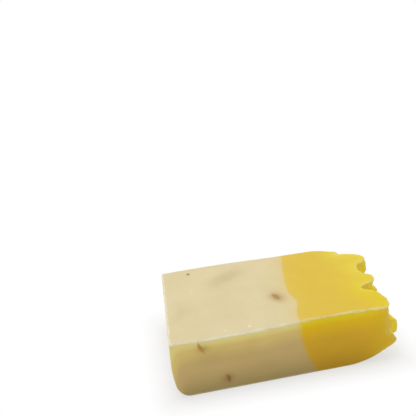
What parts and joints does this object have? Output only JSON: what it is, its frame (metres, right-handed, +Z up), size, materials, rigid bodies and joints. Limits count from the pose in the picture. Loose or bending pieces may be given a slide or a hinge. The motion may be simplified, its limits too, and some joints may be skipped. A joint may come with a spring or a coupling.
{
  "type": "bar of soap",
  "caption": "Handmade soap bar sliced from a two-layer loaf: cream base with husk flecks, yellow top layer with a spoon-worked crust at one end.",
  "frame": {"origin": "middle of the underside of the bar's box, on the surface that it lies on", "axes": "+X along the bar from the moulded end to the crust, +Y across it from the front mould wall to the back one, +Z up from the lower cut face to the upper one"},
  "size_m": [0.093, 0.0454, 0.0276],
  "materials": {
    "cream_soap": "waxy, slightly translucent cream soap, satin",
    "yellow_soap": "waxy, slightly translucent yellow soap, satin",
    "husk": "dried husk, brown, matte, wet with soap"
  },
  "bodies": {
    "root": {"cream_base": "cream_soap", "yellow_top": "yellow_soap", "husk_fleck_top_near_seam": "husk", "husk_fleck_top_corner": "husk", "husk_fleck_front_high": "husk", "husk_fleck_front_low": "husk", "husk_fleck_end_high": "husk", "husk_fleck_end_low": "husk", "husk_fleck_back_high": "husk", "husk_fleck_back_low": "husk", "husk_fleck_under_middle": "husk", "husk_fleck_under_front": "husk"}
  },
  "joints": []
}
